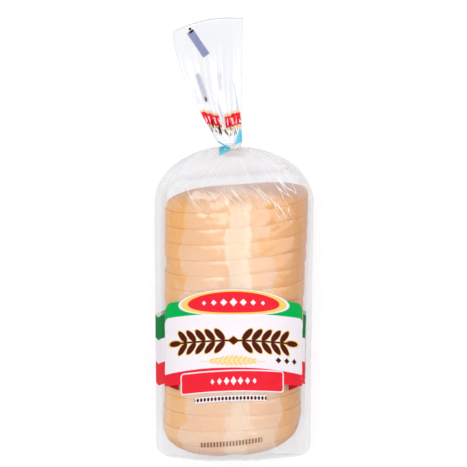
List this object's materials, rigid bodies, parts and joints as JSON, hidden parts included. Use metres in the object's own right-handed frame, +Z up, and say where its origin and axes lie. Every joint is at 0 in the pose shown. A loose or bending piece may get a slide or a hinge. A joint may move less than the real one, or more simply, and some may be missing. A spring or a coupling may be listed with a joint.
{
  "type": "sliced loaf in bread bag",
  "caption": "Sliced white loaf sealed in a clear printed film bag, lying on its bottom crust, with the bag's mouth tied and flared into a pleated tail.",
  "frame": {"origin": "centre of the flat face that the loaf rests on", "axes": "+Z up through the crown, +Y from the bag's closed end to its tied tail, +X to the right when the crown is seen with the tail at the top"},
  "size_m": [0.151, 0.4218, 0.1035],
  "materials": {
    "loaf_in_film": "bread seen through clear glossy film",
    "clear_film": "thin clear glossy film with printed areas",
    "bread": "matt baked crust and crumb",
    "tie_paper": "plain white paper-covered wire"
  },
  "bodies": {
    "root": {"bag": "loaf_in_film", "tie": "tie_paper"}
  },
  "joints": []
}
